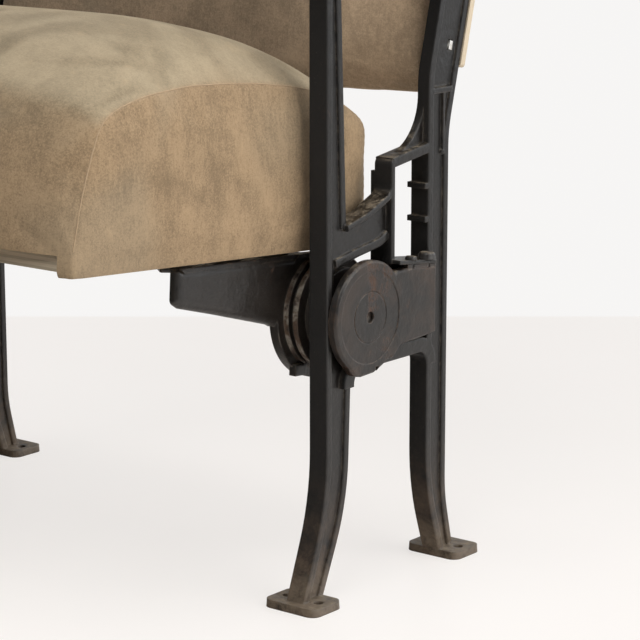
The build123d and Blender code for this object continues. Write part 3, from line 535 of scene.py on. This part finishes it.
def puff(obj, pressure, cap, frames, pinned):
    """Inflates a closed cushion with the cloth solver. Each point then moves back
    towards its start, so that it has moved no further than the cap. pinned holds
    a weight for each point, 1 where the cloth is fixed to its board."""
    start = read_points(obj)
    group = obj.vertex_groups.new(name="held")
    for weight in np.unique(pinned):
        index = np.nonzero(pinned == weight)[0]
        if weight > 0.0:
            group.add(index.tolist(), float(weight), "REPLACE")
    cloth = obj.modifiers.new("stuffing", "CLOTH")
    settings = cloth.settings
    settings.quality = 5
    settings.mass = 0.3
    settings.tension_stiffness = 28.0
    settings.compression_stiffness = 18.0
    settings.shear_stiffness = 12.0
    settings.bending_stiffness = 1.2
    settings.use_pressure = True
    settings.uniform_pressure_force = pressure
    settings.vertex_group_mass = "held"
    settings.pin_stiffness = 6.0
    settings.effector_weights.gravity = 0.0
    cloth.collision_settings.use_self_collision = False
    cloth.point_cache.frame_start = 1
    cloth.point_cache.frame_end = frames
    for number in range(1, frames + 1):
        bpy.context.scene.frame_set(number)
    apply_modifiers(obj)
    bpy.context.scene.frame_set(1)
    moved = read_points(obj) - start
    length = np.linalg.norm(moved, axis=1, keepdims=True)
    soft = cap * np.tanh(length / cap)
    write_points(obj, start + moved * soft / np.maximum(length, 1e-9))


def voxel(obj, size):
    """An even skin of quads over a closed shape."""
    modifier = obj.modifiers.new("skin", "REMESH")
    modifier.mode = "VOXEL"
    modifier.voxel_size = size
    modifier.use_smooth_shade = True
    apply_modifiers(obj)


def relax(obj, factor, rounds):
    """Evens out a skin's small steps."""
    modifier = obj.modifiers.new("ease", "SMOOTH")
    modifier.factor = factor
    modifier.iterations = rounds
    apply_modifiers(obj)


def subdivide(obj, levels):
    """Divides a skin into smaller, rounder faces."""
    modifier = obj.modifiers.new("fine", "SUBSURF")
    modifier.levels = levels
    modifier.render_levels = levels
    apply_modifiers(obj)


def cut(obj, cutter):
    """Takes a closed cutter out of a closed piece, and removes the cutter."""
    modifier = obj.modifiers.new("cut", "BOOLEAN")
    modifier.operation = "DIFFERENCE"
    modifier.solver = "EXACT"
    modifier.object = cutter
    apply_modifiers(obj)
    bpy.data.objects.remove(cutter)


def smooth_by_angle(obj, degrees):
    """Smooth faces, with sharp edges where faces meet more steeply than an angle."""
    bm = bmesh.new()
    bm.from_mesh(obj.data)
    limit = math.radians(degrees)
    for face in bm.faces:
        face.smooth = True
    for edge in bm.edges:
        edge.smooth = len(edge.link_faces) != 2 or edge.calc_face_angle(0.0) < limit
    bm.to_mesh(obj.data)
    bm.free()


def brick(name, low, high, place):
    """A closed box between two corners, carried by a placing function."""
    low, high = np.array(low), np.array(high)
    pick = np.array([(a, b, c) for a in (0, 1) for b in (0, 1) for c in (0, 1)])
    verts = place(low + pick * (high - low))
    faces = [(0, 1, 3, 2), (4, 6, 7, 5), (0, 4, 5, 1), (2, 3, 7, 6), (0, 2, 6, 4), (1, 5, 7, 3)]
    obj = new_mesh_object(name, verts, faces, None)
    outward(obj)
    return obj


def cord_tube(name, line, radius, sides, material):
    """A thin round tube along a line: at each point a circle of the radius there,
    across the line's direction, with both ends closed."""
    ahead = np.roll(line, -1, axis=0) - np.roll(line, 1, axis=0)
    ahead[0] = line[1] - line[0]
    ahead[-1] = line[-1] - line[-2]
    ahead /= np.linalg.norm(ahead, axis=1, keepdims=True)
    side = np.cross(ahead, np.array(SIDEWAYS))
    side /= np.linalg.norm(side, axis=1, keepdims=True)
    up = np.cross(side, ahead)
    angle = np.linspace(0.0, 2 * math.pi, sides, endpoint=False)
    ring = (side[:, None, :] * np.cos(angle)[None, :, None]
            + up[:, None, :] * np.sin(angle)[None, :, None]) * radius[:, None, None]
    verts = (line[:, None, :] + ring).reshape(-1, 3)
    faces = [tuple(q) for q in grid_faces(len(line), sides)]
    faces.append(tuple(range(sides)))
    faces.append(tuple(range(len(verts) - sides, len(verts)))[::-1])
    obj = new_mesh_object(name, verts, faces, material)
    outward(obj)
    return obj


# ------------------------------------------------------------------ properties

class SeatCushionSizes(bpy.types.PropertyGroup):
    """Sizes of the tipping seat's cushion"""
    half_width: bpy.props.FloatProperty(
        name="Half width", description="From the middle to the side seam",
        default=0.2635, unit="LENGTH")
    crown: bpy.props.FloatProperty(
        name="Crown", description="Rise of the middle over the side seam", default=0.047, unit="LENGTH")
    front_bulge: bpy.props.FloatProperty(
        name="Front bulge", description="How far the front stands out in the middle",
        default=0.011, unit="LENGTH")
    side_bulge: bpy.props.FloatProperty(
        name="Side bulge", description="How far the side panel stands out",
        default=0.0018, unit="LENGTH")
    voxel: bpy.props.FloatProperty(
        name="Mesh size", description="Size of the skin's quads before they are divided",
        default=0.0052, unit="LENGTH")
    welt: bpy.props.FloatProperty(
        name="Seam radius", description="Radius of the sewn edge", default=0.0006, unit="LENGTH")


class BackCushionSizes(bpy.types.PropertyGroup):
    """Sizes of the padded back"""
    half_width: bpy.props.FloatProperty(
        name="Half width", description="From the middle to the side", default=0.2675, unit="LENGTH")
    low: bpy.props.FloatProperty(
        name="Low edge", description="Low edge from the back's foot", default=-0.0285, unit="LENGTH")
    high: bpy.props.FloatProperty(
        name="High edge", description="High edge from the back's foot", default=0.3650, unit="LENGTH")
    depth: bpy.props.FloatProperty(
        name="Depth", description="Thickness at the edge's turn", default=0.0315, unit="LENGTH")
    crown: bpy.props.FloatProperty(
        name="Crown", description="Extra thickness in the middle", default=0.0115, unit="LENGTH")


class SeatFinishes(bpy.types.PropertyGroup):
    """Colours of the cloth, paint and wood"""
    velvet: bpy.props.FloatVectorProperty(
        name="Velvet", description="Colour of the seat's nap", subtype="COLOR",
        default=(0.322, 0.226, 0.134))
    back_velvet: bpy.props.FloatVectorProperty(
        name="Back velvet", description="Colour of the back's nap", subtype="COLOR",
        default=(0.246, 0.182, 0.122))
    iron: bpy.props.FloatVectorProperty(
        name="Iron paint", description="Colour of the castings' paint", subtype="COLOR",
        default=(0.0048, 0.0038, 0.0031))
    ply: bpy.props.FloatVectorProperty(
        name="Plywood", description="Colour of the pale boards", subtype="COLOR",
        default=(0.66, 0.55, 0.40))
    arm_wood: bpy.props.FloatVectorProperty(
        name="Armrest wood", description="Colour of the armrests", subtype="COLOR",
        default=(0.20, 0.095, 0.042))


class StudioSizes(bpy.types.PropertyGroup):
    """Powers of the lamps and of the room's light"""
    key_power: bpy.props.FloatProperty(
        name="Key light", description="Power of the large lamp at the right",
        default=26.0, unit="POWER")
    fill_power: bpy.props.FloatProperty(
        name="Fill light", description="Power of the lamp at the left", default=2.5, unit="POWER")
    top_power: bpy.props.FloatProperty(
        name="Top light", description="Power of the lamp overhead", default=47.0, unit="POWER")
    room: bpy.props.FloatProperty(
        name="Room light", description="Strength of the light from the wall", default=1.2)


# ------------------------------------------------------------------- operators

def dress(nodes, material):
    """Gives CAD nodes a material in every slot."""
    for name in nodes:
        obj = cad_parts[name]
        if not obj.material_slots:
            obj.data.materials.append(material)
        for slot in obj.material_slots:
            slot.material = material


def pairs(*names):
    """The left and the right node of each name."""
    return [f"{side}_{name}" for side in ("left", "right") for name in names]


class SEAT_OT_ironwork(bpy.types.Operator):
    """Paint the castings: standards, hinge covers, discs and seat arms"""
    bl_idname = "seat.ironwork"
    bl_label = "Ironwork"

    def execute(self, context):
        paint = tuple(context.scene.seat_finishes.iron)
        dress(pairs("standard"), make_iron("black_iron", paint, 0.015, 0.14, wear=0.6, round_r=0.0030))
        dress(pairs("hinge_cover"), make_iron(
            "cover_iron", shade(paint, 1.3), 0.13, 0.10, wear=1.0, round_r=0.0020,
            rubbed=(0.165, 0.108, 0.076), stained=0.50))
        # Painted highlight: the seat arms' paint is 2.6 times lighter than the standards', for the light
        # on their rounded noses, besides worn edges.
        dress(pairs("seat_arm"), make_iron(
            "worn_iron_painted_highlight", shade(paint, 2.6), 0.08, 0.10, wear=1.0, round_r=0.0030, rim=True))
        dress(pairs("hinge_disc"), make_iron(
            "drum_iron", shade(paint, 3.0), 0.12, 0.10, wear=1.0, round_r=0.0018, rim=True))
        return {"FINISHED"}


class SEAT_OT_hardware(bpy.types.Operator):
    """Finish the bolts, nuts, screws, rivets, bushes and buffers"""
    bl_idname = "seat.hardware"
    bl_label = "Hardware"

    def execute(self, context):
        zinc = make_steel("zinc_plate", (0.92, 0.91, 0.88), (0.62, 0.58, 0.52))
        dark = make_steel("dark_steel", (0.20, 0.18, 0.16), (0.06, 0.045, 0.035))
        dress(["back_nuts", "back_bolts"], zinc)
        dress(pairs("pivot_nut", "pivot_washer", "pivot_bolt", "disc_rivets",
                    "seat_arm_screws", "armrest_screws"), dark)
        dress(pairs("cover_bolts"), make_iron(
            "grimy_bolt", (0.022, 0.018, 0.015), 0.16, 0.22, wear=0.9, round_r=0.0012))
        dress(["seat_studs", "back_screws"], dark)
        dress(pairs("pivot_bush"), make_bronze("oiled_bronze"))
        dress(pairs("stop_buffers"), make_rubber("stop_rubber"))
        return {"FINISHED"}


class SEAT_OT_timber(bpy.types.Operator):
    """Finish the armrests and the plywood boards"""
    bl_idname = "seat.timber"
    bl_label = "Timber"

    def execute(self, context):
        finishes = context.scene.seat_finishes
        wood, ply = tuple(finishes.arm_wood), tuple(finishes.ply)
        dress(pairs("armrest"), make_timber(
            "armrest_wood", wood, shade(wood, 0.4), gloss=0.28, grain_axis=1))
        dress(["seat_board"], make_ply(
            "seat_ply", ply, shade(ply, 0.66), thickness=BOARD_TOP - BOARD_LOW, tilt=SEAT_TILT, sheets=5))
        dress(["backboard", "back_pad_board"], make_timber(
            "back_ply", shade(ply, 1.05), shade(ply, 0.62), gloss=0.55, grain_axis=2, tilt=BACK_RAKE))
        return {"FINISHED"}


def seat_outline(count):
    """The side seam as a closed outline: over the top by smooth spans, and straight
    along the bottom, with points at equal steps."""
    top = smooth_line(SEAT_SEAM, count)
    top[[0, -1], 1] -= SEAM_DROP
    low = np.linspace(top[-1], top[0], count // 3)[1:-1]
    return np.vstack([top, low])


def seat_form(sizes, inset):
    """The cushion as one closed grid: the outline at each width, raised by the crown
    share 1 - |u|^6 where it is high, pushed forward by the bulge share where it
    faces front, and closed at both sides by rings that shrink to the middle. An
    inset draws the whole form in towards the middle, for the stuffing to fill."""
    line = seat_outline(200)
    y, z = line[:, 0], line[:, 1]
    middle = np.array([-0.145, 0.128])
    half_depth, half_height = 0.18, 0.07
    high = np.clip((z - CUSHION_LOW) / (SEAM_TOP - CUSHION_LOW), 0.0, 1.0)
    back_fall = np.interp(y, [-0.33, -0.30, -0.15, 0.0, 0.044], [0.62, 0.62, 1.0, 0.76, 0.12])
    front = np.clip((-0.20 - y) / 0.13, 0.0, 1.0) * np.clip(1.4 - high, 0.4, 1.0)
    u = np.sin(np.linspace(-1.0, 1.0, 61) * math.pi / 2)
    share = 1.0 - np.abs(u) ** 6
    half = sizes.half_width - inset
    grid = np.empty((len(u), len(line), 3))
    grid[:, :, 0] = u[:, None] * half
    grid[:, :, 1] = middle[0] + (y - middle[0])[None, :] * (1.0 - inset / half_depth)
    grid[:, :, 1] -= sizes.front_bulge * share[:, None] * front[None, :]
    grid[:, :, 2] = middle[1] + (z - middle[1])[None, :] * (1.0 - inset / half_height)
    grid[:, :, 2] += sizes.crown * share[:, None] * (high ** 1.6 * back_fall)[None, :]
    shrink = np.linspace(1.0, 0.0, 9)[1:, None, None]
    rings = middle + (grid[-1][None, :, 1:] - middle) * shrink
    out = half + sizes.side_bulge * (1.0 - shrink[:, :, 0] ** 2.5)
    cap = np.concatenate([np.broadcast_to(out[:, :, None], rings.shape[:2] + (1,)), rings], axis=2)
    other_cap = cap * np.array([-1.0, 1.0, 1.0])
    whole = np.concatenate([other_cap[::-1], grid, cap])
    return whole.reshape(-1, 3), grid_faces(len(whole), len(line))


class SEAT_OT_seat_cushion(bpy.types.Operator):
    """Stuff and cover the tipping seat's cushion, and sew its side seams"""
    bl_idname = "seat.seat_cushion"
    bl_label = "Seat cushion"

    def execute(self, context):
        sizes = context.scene.seat_cushion
        nap = tuple(context.scene.seat_finishes.velvet)
        velvet = make_velvet("velvet", nap, patch_size=0.16, top_light_share=0.75)
        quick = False
        verts, faces = seat_form(sizes, 0.0 if quick else 0.0016)
        cushion = new_mesh_object("seat_cushion", verts, faces, velvet)
        outward(cushion)
        voxel(cushion, sizes.voxel * (1.6 if quick else 1.0))
        relax(cushion, 0.4, 2)
        if not quick:
            hem_height = 0.018
            level = read_points(cushion)
            low = 1.0 - np.clip((level[:, 2] - CUSHION_LOW) / hem_height, 0.0, 1.0)
            puff(cushion, pressure=4.0, cap=0.0026, frames=18, pinned=np.round(low, 1))
        subdivide(cushion, 1)
        write_points(cushion, seat_place(self.kept_in(read_points(cushion), sizes)))
        outward(cushion)
        self.make_room_for_board(cushion)
        smooth_by_angle(cushion, 50)
        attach(cushion, "seat")
        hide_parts("seat_cover", "seat_filling")
        self.give_way(cushion)
        self.sew(cushion, sizes, make_seam("velvet_seam", nap))
        return {"FINISHED"}

    def give_way(self, piece):
        """Gives the piece a mesh of its own. It does not press the stuffing as the seat tips up;
        without that, the crown would pass into the back at the limit."""
        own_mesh(piece)

    def kept_in(self, level, sizes):
        """Holds the skin over its floor and inside the standards' clear width."""
        floor_play, side_room = 0.0003, 0.0036
        out = level.copy()
        out[:, 2] = np.maximum(out[:, 2], CUSHION_LOW + floor_play)
        limit = sizes.half_width + side_room
        out[:, 0] = np.clip(out[:, 0], -limit, limit)
        return out

    def make_room_for_board(self, cushion):
        """Cuts out the board's space, the opening inside the hem and the strip along
        the front where the board's edge shows."""
        play = 0.0003
        half = CUSHION_HALF - BOARD_MARGIN + play
        front = CUSHION_FRONT + BOARD_MARGIN - play
        rear = CUSHION_REAR - BOARD_MARGIN + play
        below, ahead = 0.040, -0.390
        hem_half, hem_front, hem_rear = 0.250, -0.318, 0.029
        strip_half, strip_rear = 0.247, -0.313
        rooms = (
            ((-half, front, BOARD_LOW - play), (half, rear, BOARD_TOP + play)),
            ((-hem_half, hem_front, below), (hem_half, hem_rear, BOARD_LOW + play)),
            ((-strip_half, ahead, below), (strip_half, strip_rear, BOARD_TOP + play * 2)),
        )
        for low, high in rooms:
            cut(cushion, brick("room", low, high, seat_place))

    def sew(self, cushion, sizes, material):
        """Lays the two sewn edges on the skin along the side outlines: the outline is
        brought to the nearest skin, evened out, and its radius waves with the stitches."""
        tree = BVHTree.FromPolygons([tuple(p) for p in read_points(cushion)],
                                    [tuple(p.vertices) for p in cushion.data.polygons])
        cut_off, even = 8, 9
        top = smooth_line(SEAT_SEAM, 260)[cut_off:-cut_off]
        stitch = 1.0 + 0.22 * np.sin(np.arange(len(top)) * 1.9)
        for side in (-1.0, 1.0):
            line = np.column_stack([np.full(len(top), side * (sizes.half_width + 0.0006)), top])
            line[:, 2] += 0.0012
            target = seat_place(line)
            on_skin = np.array([tuple(tree.find_nearest(tuple(p))[0]) for p in target])
            ease = np.ones(even) / even
            longer = np.pad(on_skin, ((even // 2, even // 2), (0, 0)), mode="edge")
            eased = np.stack([np.convolve(longer[:, k], ease, mode="valid") for k in range(3)], axis=1)
            name = "left_seam" if side > 0 else "right_seam"
            seam = cord_tube(name, eased, sizes.welt * stitch, 8, material)
            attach(seam, "seat")
            self.give_way(seam)


def back_form(sizes, inset):
    """The padded back as one closed grid: at each width the section is a flat rear,
    rounded ends and a crowned front, and the whole follows the bent board. The
    front's depth falls off at the sides by the share 0.72 + 0.28 (1 - |u|^30)^0.5,
    and the low edge sags in the middle by the share 1 - u^2."""
    low, high = sizes.low + inset, sizes.high - inset
    gap, rim, sag = 0.0006, 0.009, 0.0050
    t = np.linspace(0.0, 1.0, 90)
    reach = np.clip(np.minimum(t / 0.085, (1.0 - t) / 0.062), 0.0, 1.0)
    nose = np.sqrt(1.0 - (1.0 - reach) ** 2)
    front = rim + (sizes.depth - rim - inset) * nose + sizes.crown * np.sin(math.pi * t) ** 0.8 * nose
    rear = np.full(30, gap + inset)
    section_y = np.concatenate([-front, -rear])
    section_z = np.concatenate([low + (high - low) * t, np.linspace(high, low, len(rear))])
    u = np.sin(np.linspace(-1.0, 1.0, 81) * math.pi / 2)
    x = u * (sizes.half_width - inset)
    edge = 0.72 + 0.28 * np.sqrt(np.maximum(1.0 - np.abs(u) ** 30, 0.0))
    is_front = section_y < -0.005
    near_low = np.clip((0.05 - section_z) / 0.08, 0.0, 1.0)
    grid = np.empty((len(u), len(section_y), 3))
    grid[:, :, 0] = x[:, None]
    grid[:, :, 1] = section_y[None, :] * np.where(is_front, edge[:, None], 1.0) + dish(x)[:, None]
    grid[:, :, 2] = section_z[None, :]
    grid[:, :, 2] -= sag * (1.0 - u[:, None] ** 2) * near_low[None, :]
    middle = grid[[0, -1]].mean(axis=1, keepdims=True)
    shrink = np.linspace(1.0, 0.0, 5)[1:, None, None]
    left = middle[0] + (grid[0][None] - middle[0]) * shrink
    right = middle[1] + (grid[-1][None] - middle[1]) * shrink
    whole = np.concatenate([left[::-1], grid, right])
    return whole.reshape(-1, 3), grid_faces(len(whole), len(section_y))


class SEAT_OT_back_cushion(bpy.types.Operator):
    """Pad and cover the back"""
    bl_idname = "seat.back_cushion"
    bl_label = "Back cushion"

    def execute(self, context):
        sizes = context.scene.back_cushion
        nap = tuple(context.scene.seat_finishes.back_velvet)
        velvet = make_velvet("back_velvet", nap, patch_size=0.14, top_light_share=0.0)
        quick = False
        verts, faces = back_form(sizes, 0.0 if quick else 0.0012)
        pad = new_mesh_object("back_cushion", verts, faces, velvet)
        outward(pad)
        voxel(pad, 0.0085 if quick else 0.0052)
        relax(pad, 0.4, 2)
        if not quick:
            held_depth, free_after = 0.006, 0.008
            level = read_points(pad)
            rear = 1.0 - np.clip((dish(level[:, 0]) - level[:, 1] - held_depth) / free_after, 0.0, 1.0)
            puff(pad, pressure=4.0, cap=0.0024, frames=16, pinned=np.round(rear, 1))
        subdivide(pad, 1)
        write_points(pad, back_place(read_points(pad)))
        outward(pad)
        smooth_by_angle(pad, 60)
        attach(pad, "frame")
        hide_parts("back_cover", "back_filling")
        return {"FINISHED"}


def make_floor(name):
    """Studio sweep: a pale floor that keeps a soft shadow and, past a line behind the
    seat, turns to the tone of the wall. Away from the camera's own view its front part
    is the unlit end of the studio, which the black gloss reflects."""
    r = Recipe(name)
    seen = r.node("ShaderNodeLightPath", out="Is Camera Ray")
    far = r.step(r.height((-0.62169, 0.78326, 0.0)), 0.938, 0.951)
    unlit = (1.0 - seen) * r.step(r.height((-0.62, -0.78, 0.0)), 0.30, 0.80)
    tone = r.noise(2.2, 3.0, 0.5)
    colour = r.mix(far, r.mix(tone, (0.86, 0.815, 0.775), (0.92, 0.875, 0.84)), WALL_TONE)
    colour = r.mix(unlit, colour, (0.03, 0.029, 0.027))
    floor = r.node("ShaderNodeBsdfPrincipled", None, {
        "Base Color": colour, "Roughness": 0.34 + tone * 0.1, "Specular IOR Level": 0.22}, "BSDF")
    glow = r.mix(far, r.mix(tone, (0.985, 0.950, 0.925), (1.0, 0.975, 0.955)), WALL_TONE)
    plain = r.node("ShaderNodeEmission", None, {"Color": glow, "Strength": 1.0}, "Emission")
    return r.blend_close(seen * (far * 0.32 + 0.68), floor, plain)


def make_world(name, room):
    """Light from the pale wall behind the seat, which falls off to the unlit end of
    the studio in front of it. The camera sees the wall's own tone all around."""
    r = Recipe(name, bpy.data.worlds.new(name))
    seen = r.node("ShaderNodeLightPath", out="Is Camera Ray")
    wall = r.along(r.node("ShaderNodeTexCoord", out="Generated"), (0.62, 0.78, 0.0))
    strength = (r.step(wall, -0.25, 0.75) + 0.03) * room
    light, plain = (
        r.node("ShaderNodeBackground", None, {"Color": tone, "Strength": power}, "Background")
        for tone, power in (((0.97, 0.985, 1.0), strength), (WALL_TONE, 1.0)))
    return r.blend_close(seen, light, plain, "ShaderNodeOutputWorld")


def area_lamp(name, place, aim, power, colour):
    """A square soft lamp at a place, turned to face a point."""
    data = bpy.data.lights.new(name, "AREA")
    data.shape = "SQUARE"
    data.size = 1.8
    data.energy = power
    data.color = colour
    lamp = bpy.data.objects.new(name, data)
    bpy.context.collection.objects.link(lamp)
    lamp.location = place
    way = Vector(aim) - Vector(place)
    lamp.rotation_euler = way.to_track_quat("-Z", "Y").to_euler()


class SEAT_OT_stage(bpy.types.Operator):
    """Set the camera, the pale floor and the soft studio lamps"""
    bl_idname = "seat.stage"
    bl_label = "Studio"

    def execute(self, context):
        scene = context.scene
        studio = scene.seat_studio
        scene.camera = self.photo_camera(context.collection)
        corners = [(-1, -1, 0), (1, -1, 0), (1, 1, 0), (-1, 1, 0)]
        reach = 7.0
        floor = new_mesh_object("studio_floor", np.array(corners) * reach, [(0, 1, 2, 3)],
                                make_floor("studio_floor"))
        area_lamp("key", (2.3, 0.3, 1.7), (0.1, 0.0, 0.35), studio.key_power, (1.0, 0.98, 0.95))
        area_lamp("fill", (-1.2, -2.2, 1.7), (0.0, 0.0, 0.35), studio.fill_power, (1.0, 0.99, 0.97))
        area_lamp("top", (0.3, -1.4, 2.5), (0.0, 0.0, 0.3), studio.top_power, (1.0, 0.99, 0.97))
        scene.world = make_world("studio_world", studio.room)
        scene.view_settings.view_transform = "Standard"
        return {"FINISHED"}

    def photo_camera(self, collection):
        """The camera from which the seat was photographed."""
        data = bpy.data.cameras.new("photo_camera")
        data.sensor_width = SENSOR_MM
        data.sensor_fit = "HORIZONTAL"
        data.lens = FOCAL_PIXELS / PICTURE_PIXELS * SENSOR_MM
        data.clip_start = 0.05
        camera = bpy.data.objects.new("photo_camera", data)
        collection.objects.link(camera)
        camera.location = CAMERA_PLACE
        camera.rotation_euler = [math.radians(angle) for angle in CAMERA_TURN]
        return camera


class SEAT_PT_panel(bpy.types.Panel):
    """Lists the steps that dress the seat"""
    bl_idname = "SEAT_PT_panel"
    bl_label = "Tip-up seat"
    bl_space_type = "VIEW_3D"
    bl_region_type = "UI"
    bl_category = "Seat"

    def draw(self, context):
        for operator in OPERATORS:
            self.layout.operator(operator.bl_idname)
        for group in GROUPS:
            box = self.layout.box()
            for name in GROUPS[group].__annotations__:
                box.prop(getattr(context.scene, group), name)


GROUPS = {"seat_cushion": SeatCushionSizes, "back_cushion": BackCushionSizes,
          "seat_finishes": SeatFinishes, "seat_studio": StudioSizes}
OPERATORS = (SEAT_OT_stage, SEAT_OT_ironwork, SEAT_OT_hardware, SEAT_OT_timber,
             SEAT_OT_seat_cushion, SEAT_OT_back_cushion)


def register():
    """Adds the sizes, the steps and the panel."""
    for group, kind in GROUPS.items():
        bpy.utils.register_class(kind)
        setattr(bpy.types.Scene, group, bpy.props.PointerProperty(type=kind))
    for operator in OPERATORS:
        bpy.utils.register_class(operator)
    bpy.utils.register_class(SEAT_PT_panel)


def unregister():
    """Takes them away again."""
    bpy.utils.unregister_class(SEAT_PT_panel)
    for operator in reversed(OPERATORS):
        bpy.utils.unregister_class(operator)
    for group, kind in reversed(GROUPS.items()):
        delattr(bpy.types.Scene, group)
        bpy.utils.unregister_class(kind)


def main():
    """Dresses the seat."""
    register()
    bpy.ops.seat.stage()
    bpy.ops.seat.ironwork()
    bpy.ops.seat.hardware()
    bpy.ops.seat.timber()
    bpy.ops.seat.seat_cushion()
    bpy.ops.seat.back_cushion()


if __name__ == "__main__":
    main()
